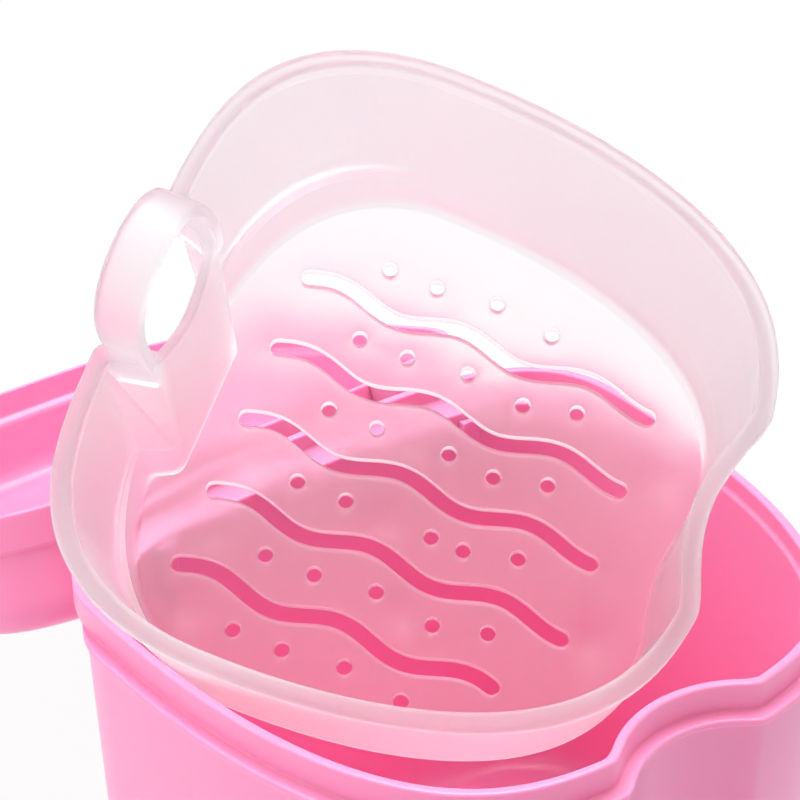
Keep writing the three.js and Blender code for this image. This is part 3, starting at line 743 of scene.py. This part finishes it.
def basket_field(outline, share, offset, inwards, bead=0.0):
    """The basket's outline with the scallop in front and the flat finger channel behind. The channel's panel
    lies a depth inside the rear edge, its sides slope outwards, and it narrows from foot to rim."""
    scallop_x = BASKET_HALF_LENGTH - FRONT["depth"] + FRONT["radius"]
    panel_x = BASKET_HALF_LENGTH - CHANNEL["depth"] - inwards
    near_y, far_y = between(CHANNEL["near"], share), between(CHANNEL["far"], share)
    near_slope, far_slope = between(CHANNEL["near_slope"], share), between(CHANNEL["far_slope"], share)

    def field(x, y, angles):
        edge = outline_field(outline, x, y, offset)
        scallop = round_channel(x, y, scallop_x, scallop_radius(share, inwards, bead))
        edge = smooth_max(edge, scallop, FRONT["blend"])
        deep = -x - panel_x
        near = y - near_y + inwards + near_slope * deep
        far = far_y + inwards - y + far_slope * deep
        sides = smooth_max(-near, -far, CHANNEL["side_blend"])
        channel = -smooth_max(-deep, sides, CHANNEL["panel_blend"])
        return smooth_max(edge, channel, CHANNEL["edge_blend"])

    return field


def basket_ring(outline, z, offset, inwards, bead=0.0):
    """A ring of the basket at a height, with points led to the corners of its scallop and channel."""
    share = min(1, max(0, z / BASKET_DEPTH))
    radius = scallop_radius(share, inwards, bead)
    middle = BASKET_HALF_LENGTH - FRONT["depth"] + FRONT["radius"]
    edge_x = BASKET_HALF_LENGTH + offset
    front = math.atan2(math.sqrt(radius**2 - (middle - edge_x) ** 2), edge_x - FRONT["blend"] / 2)
    near, far = between(CHANNEL["near_turn"], share), between(CHANNEL["far_turn"], share)
    corners = (-front, front, math.pi - far, math.pi + near)
    return ring(basket_field(outline, share, offset, inwards, bead), z, corners)


def wall(inwards, floor_z, fillet):
    """Rings of one face of the wall with the radius of each corner: floor edge, foot, ledge, upper wall."""
    ledge = -RIM_OUT - inwards - UPPER_DRAFT
    foot = ledge - LOWER_DRAFT
    return [
        (basket_ring(LOWER, floor_z, foot - fillet, inwards, fillet), 0),
        (basket_ring(LOWER, floor_z, foot, inwards), fillet),
        (basket_ring(LOWER, LEDGE_Z[0], ledge, inwards), LEDGE_EDGES[0]),
        (basket_ring(MIDDLE, LEDGE_Z[1], ledge, inwards), LEDGE_EDGES[1]),
    ]


rim_z = BASKET_DEPTH - RIM_HEIGHT
rim_inside = (-RIM_OUT - BASKET_WALL - RIM_IN, BASKET_WALL, RIM_IN)
outside = wall(0, -BASKET_FLOOR, FILLET_OUTSIDE) + [
    (basket_ring(UPPER, rim_z - RIM_OUT, -RIM_OUT, 0), STEP_RISE),
    (basket_ring(UPPER, rim_z, 0, 0, -RIM_OUT), BEAD_EDGE),
    (basket_ring(UPPER, BASKET_DEPTH, 0, 0, -RIM_OUT), RIM_EDGE),
]
inside = wall(BASKET_WALL, 0, FILLET_INSIDE) + [
    (basket_ring(UPPER, rim_z - RIM_IN, -RIM_OUT - BASKET_WALL, BASKET_WALL), STEP_RISE),
    (basket_ring(UPPER, rim_z, *rim_inside), BEAD_EDGE),
    (basket_ring(UPPER, BASKET_DEPTH, *rim_inside), RIM_EDGE),
]
basket_rings, basket_radii = zip(*(outside + inside[::-1]))
basket_rows = fill_rows(soften(basket_rings, basket_radii), 2.5)


# %% [markdown]
# Behind the handle the channel's wall stops lower than the rim, in a round dip.
# Cutting it off would leave a raw edge, so the rows above the ledge are pressed
# down there, and the dip keeps the wall's thickness and its rounded top.


# %% Dip in the channel's wall
def dipped(rows):
    """Presses rows down near the channel. The top sinks by depth times cos^1.2 of the share of the half
    width, and a point lower down by its share of the height above the level where the dip starts."""
    pressed = []
    for row in rows:
        row = row.copy()
        share = np.clip(np.abs(row[:, 1]) / DIP["half"], 0, 1)
        behind = eased(-row[:, 0], DIP["start"], DIP["end"])
        above = np.clip((row[:, 2] - DIP["above"]) / (BASKET_DEPTH - DIP["above"]), 0, 1)
        row[:, 2] -= DIP["depth"] * np.cos(share * math.pi / 2) ** 1.2 * behind * above
        pressed.append(row)
    return pressed


# Where the ledge gets its painted highlight: rows near its middle height, glowing more as the step widens,
# fully at the second value
LEDGE_REACH, FULL_GLOW_STEP = 0.32, 0.8
ledge_draft = -RIM_OUT - UPPER_DRAFT
upper_foot, lower_foot = (basket_ring(outline, LEDGE_Z[1], ledge_draft, 0) for outline in (MIDDLE, LOWER))
step_width = np.linalg.norm(upper_foot - lower_foot, axis=1)
row_height = np.stack([row[:, 2] for row in basket_rows])
is_ledge = np.abs(row_height - sum(LEDGE_Z) / 2) < LEDGE_REACH
basket_painted_glow = (is_ledge * np.clip(step_width / FULL_GLOW_STEP, 0, 1)).ravel()
basket_rows = dipped(basket_rows)
basket_wall = stack(basket_rows, closed=(False, False))
print("basket rows", len(basket_rows), "widest step of the ledge", round(float(step_width.max()), 2), "mm")

# %% [markdown]
# The floor drains through five wavy slots with rows of round holes between
# them, all on one common wave. A slot could be a bent curve with a bevel, cut
# out with a Boolean modifier. As a loop of points it needs no cutting: the floor
# is filled around it.


# %% Slots and holes
def wave(x):
    """The common wave of slots and holes, one millimetre high."""
    return np.sin(2 * math.pi * x / WAVE_LENGTH + WAVE_PHASE)


def slot_loop(row, start, end, steps=90, end_steps=16):
    """A wavy slot's edge, anticlockwise: half a width below the wave, a half circle, back above the wave and
    a half circle."""
    half = SLOT_WIDTH / 2
    x = np.linspace(start + half, end - half, steps)
    slope = np.gradient(wave(x), x)
    across = half / np.sqrt(1 + slope * slope)
    level = row * ROW_PITCH + PATTERN_Y
    low = np.stack([x + across * slope, level + wave(x) - across], axis=1)
    high = np.stack([x - across * slope, level + wave(x) + across], axis=1)
    ends = []
    for place, tilt in ((-1, -math.pi / 2), (0, math.pi / 2)):
        start = math.atan(slope[place]) + tilt
        ends.append(arc((x[place], level + wave(x[place])), half, start, start + math.pi, end_steps)[1:-1])
    return np.vstack([low, ends[0], high[::-1], ends[1]]) + (PATTERN_X, 0)


# For each row its two ends, as shares of a slot's half length
slot_ends = {2: (-1, 1), 1: (-1, 1), 0: (-1, 1), -1: (-1, 1), -2: (-1.01, 0.77)}
slots = [slot_loop(row, a * SLOT_HALF, b * SLOT_HALF) for row, (a, b) in slot_ends.items()]
# The holes' columns as such shares too, and for each row its number of holes and the shift of its third hole
hole_columns = (-0.581, -0.313, 0.011, 0.337, 0.611)
hole_rows = {2.5: (4, 0), 1.5: (5, 0), 0.5: (5, 0.07), -0.5: (5, 0.15), -1.5: (5, 0), -2.5: (4, 0)}
holes = []
for row, (count, third_shift) in hole_rows.items():
    for column in range(count):
        x = (hole_columns[column] + (third_shift if column == 2 else 0)) * SLOT_HALF
        y = row * ROW_PITCH + PATTERN_Y + HOLE_SHIFT + float(wave(x))
        holes.append(circle((x + PATTERN_X, y), HOLE_RADIUS, 28))
print(len(slots), "slots", len(holes), "holes")

# %% [markdown]
# The pins that push the warm tray out of its mould leave round prints in the
# floor. A bump in the material could show them, but a visible shape belongs in
# the mesh. Each is a disc a little below the floor, as wide as the openings
# round it allow.

# %% Ejector marks
PRINTS = [
    (28.6, 13.4), (-23.0, -15.9), (-21.9, -26.6), (-3.7, 5.4), (3.8, 15.1),
    (-2.7, -5.9), (-23.9, -4.6), (4.0, -16.7), (27.6, -11.4),
]
PRINT_RADIUS, PRINT_DEPTH, PRINT_SLOPE, PRINT_ROOM = 2.9, 0.2, 0.25, 0.5


def print_rings(centre, openings, points=48):
    """The rim and the foot of one print: a circle on the floor, and a smaller one sunk into it."""
    room = min(np.hypot(*(loop - centre).T).min() for loop in openings) - PRINT_ROOM
    radius = min(PRINT_RADIUS, room)
    rim, foot = circle(centre, radius, points), circle(centre, radius - PRINT_SLOPE, points)
    depths = np.zeros(points), np.full(points, -PRINT_DEPTH)
    return [np.column_stack([loop, depth]) for loop, depth in zip((rim, foot), depths)]


prints = [print_rings(np.array(centre), slots + holes) for centre in PRINTS]
print("prints", [round(float(np.ptp(rim[:, 0]) / 2), 2) for rim, _ in prints])

# %% [markdown]
# The floor's two faces are filled between the wall's first and last ring and the
# edges of the openings. Those edges are rounded, as a sharp one would catch on
# the dentures and would show no highlight.


# %% Floor
def floor_shape(openings):
    """Both faces of the floor, the rims of its openings and its prints, sharing the wall's lowest rings."""
    rims = [edge_rows(loop, -BASKET_FLOOR, 0, -OPENING_EDGE) for loop in openings]
    parts = [rim_band(rows, -1) for rows in rims]
    for boundary, number, z, step in ((basket_rows[0], 0, -BASKET_FLOOR, -1), (basket_rows[-1], -1, 0, 1)):
        loops = [rows[number][:, :2] for rows in rims] + [rim[:, :2] for rim, _ in prints if number == -1]
        points, triangles = filled(boundary[:, :2], loops)
        lifted = np.column_stack([points, np.full(len(points), z)])
        parts.append((lifted, np.zeros((0, 4), int), triangles[:, ::step]))
    return joined(parts + [stack(rings, closed=(False, True)) for rings in prints])


# %% [markdown]
# The handle is a flat strip bent to a hoop. Its legs run on from the side walls
# of the channel, so that a finger from behind goes under it, and it leans out a
# little with its height. A bevelled curve would give a round or a twisted
# section. So it is a plate in the shape of an arch, stood up and leaned.


# %% Handle
def arch(half, rise, foot, steps=48, leg_steps=8):
    """An arch in the YZ plane, anticlockwise from its right foot: y = half cos t, z = rise sin^0.68 t."""
    turn = np.linspace(0, math.pi, steps + 1)
    top = np.stack([half * np.cos(turn), rise * np.sin(turn) ** 0.68], axis=1)
    climb = np.linspace(foot, 0, leg_steps + 1)[:-1]
    right = np.stack([np.full(leg_steps, half), climb], axis=1)
    return np.vstack([right, top, right[::-1] * (-1, 1)])


def handle_shape(h):
    """The band between two arches as a plate as deep as the strip is wide. It is stood up and leaned: x
    moves out by lean times the share of the height above the rim."""
    outer = arch(h["half"], h["rise"], h["foot"])
    inner = arch(h["half"] - h["thick"], h["rise"] - h["thick"], h["foot"])
    points, quads, triangles = plate(np.vstack([outer, inner[::-1]]), [], 0, h["width"], HANDLE_EDGE)
    y, z, depth = points.T
    x = depth + h["inset"] - BASKET_HALF_LENGTH - h["lean"] * np.clip(z, 0, None) / h["rise"]
    return np.stack([x, y + h["shift"], z + BASKET_DEPTH], axis=1), quads, triangles


# %% [markdown]
# The tray is made upright, where its heights are easy to read, and is then
# turned and moved to how it leans in the tub's mouth. The object's own place
# could do that, but the poses move the bodies, so the place is in the mesh.


# %% Basket at rest
def turned(axis, degrees):
    """Matrix of a turn about an axis."""
    return np.array(Matrix.Rotation(math.radians(degrees), 3, Vector(axis)))


towards = math.radians(REST_TOWARDS)
LEAN = turned((-math.sin(towards), math.cos(towards), 0), REST_LEAN) @ turned((0, 0, 1), REST_TURN)


def at_rest(shape):
    """Turns the basket by its lean and moves it to its place in the tub's mouth."""
    points, quads, triangles = shape
    return points @ LEAN.T + np.array(REST_PLACE), quads, triangles


basket_shape = joined([basket_wall, floor_shape(slots + holes)])
basket_painted_glow = np.concatenate([basket_painted_glow, np.zeros(len(basket_shape[0]) - len(basket_painted_glow))])
basket_piece = make_piece("basket_shell", at_rest(basket_shape), FROSTED, painted_glow=basket_painted_glow)
handle_piece = make_piece("basket_handle", at_rest(handle_shape(HANDLE)), FROSTED)
for piece in (basket_piece, handle_piece):
    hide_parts("strainer_basket")
    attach(piece, "basket")

# %% [markdown]
# ## The studio
# The photograph has a pure white ground and soft light from all sides, with a
# larger lamp above and a weaker one on the left. A white floor in a real studio
# needs lamps of its own to turn pure white, and they would wash the pink out.
# Here the floor is white to the camera and to rays that pass through or mirror
# off the plastic, and a share of it still takes a faint shadow.


# %% Floor and world
def shown_rays(nodes, links):
    """A socket that is 1 for camera, glossy and transmission rays and 0 for all others: the largest of the
    three values of a Light Path node."""
    path = nodes.new("ShaderNodeLightPath")
    largest = path.outputs["Is Camera Ray"]
    for kind in ("Is Glossy Ray", "Is Transmission Ray"):
        larger = nodes.new("ShaderNodeMath")
        larger.operation = "MAXIMUM"
        links.new(largest, larger.inputs[0])
        links.new(path.outputs[kind], larger.inputs[1])
        largest = larger.outputs[0]
    return largest


def white_ground():
    """Mostly a white glow for camera, glossy and transmission rays, and diffuse white for all others."""
    material = bpy.data.materials.new("white_ground")
    material.use_nodes = True
    nodes, links = material.node_tree.nodes, material.node_tree.links
    nodes.clear()
    out, mix = nodes.new("ShaderNodeOutputMaterial"), nodes.new("ShaderNodeMixShader")
    diffuse, glow = nodes.new("ShaderNodeBsdfDiffuse"), nodes.new("ShaderNodeEmission")
    diffuse.inputs["Color"].default_value = (0.9, 0.9, 0.9, 1)
    glow.inputs["Strength"].default_value = 1.0
    share = nodes.new("ShaderNodeMath")
    share.operation, share.inputs[1].default_value = "MULTIPLY", 0.93
    links.new(shown_rays(nodes, links), share.inputs[0])
    links.new(share.outputs[0], mix.inputs["Fac"])
    links.new(diffuse.outputs[0], mix.inputs[1])
    links.new(glow.outputs[0], mix.inputs[2])
    links.new(mix.outputs[0], out.inputs["Surface"])
    return material


GROUND_HALF = 6.0
ground_mesh = bpy.data.meshes.new("ground")
corners = [(GROUND_HALF * x, GROUND_HALF * y, 0) for x, y in ((-1, -1), (1, -1), (1, 1), (-1, 1))]
ground_mesh.from_pydata(corners, [], [(0, 1, 2, 3)])
ground = bpy.data.objects.new("ground", ground_mesh)
bpy.context.scene.collection.objects.link(ground)
ground_mesh.materials.append(white_ground())

world = bpy.data.worlds.new("studio")
bpy.context.scene.world = world
world.use_nodes = True
world_nodes, world_links = world.node_tree.nodes, world.node_tree.links
background, pick = world_nodes["Background"], world_nodes.new("ShaderNodeMix")
pick.data_type = "RGBA"
pick.inputs["A"].default_value = (0.46, 0.46, 0.46, 1)
pick.inputs["B"].default_value = (1, 1, 1, 1)
world_links.new(shown_rays(world_nodes, world_links), pick.inputs["Factor"])
world_links.new(pick.outputs["Result"], background.inputs["Color"])


# %% Lights
def soft_light(name, place, aim, size, watts):
    """A square area light that looks from its place to a point."""
    light = bpy.data.lights.new(name, "AREA")
    light.energy, light.size = watts, size
    lamp = bpy.data.objects.new(name, light)
    bpy.context.scene.collection.objects.link(lamp)
    lamp.location = place
    lamp.rotation_euler = (Vector(aim) - Vector(place)).to_track_quat("-Z", "Y").to_euler()


soft_light("top", (-0.15, 0.2, 1.0), (0, 0, 0.05), 0.6, 9.5)
soft_light("left", (-0.35, -0.8, 0.45), (0, 0, 0.05), 0.6, 3.5)

# %% [markdown]
# ## The camera
# Its place and aim were fitted to the tub's lip, the lid's rim and the basket's
# drain pattern in the photograph. It looks down by 31 degrees. A Track To
# constraint could aim it, but the fitted directions give its turn exactly.

# %% Camera
eye = bpy.data.cameras.new("camera")
eye.lens, eye.sensor_width = 103.5, 36
camera = bpy.data.objects.new("camera", eye)
bpy.context.scene.collection.objects.link(camera)
back = Vector((0.6751, -0.5239, 0.5195)).normalized()
right = Vector((0.613, 0.790, 0)).normalized()
up = back.cross(right)
turn = Matrix((right, up, back)).transposed().to_4x4()
camera.matrix_world = Matrix.Translation((0.1844, -0.1552, 0.2421)) @ turn
bpy.context.scene.camera = camera
bpy.context.scene.view_settings.view_transform = "Standard"
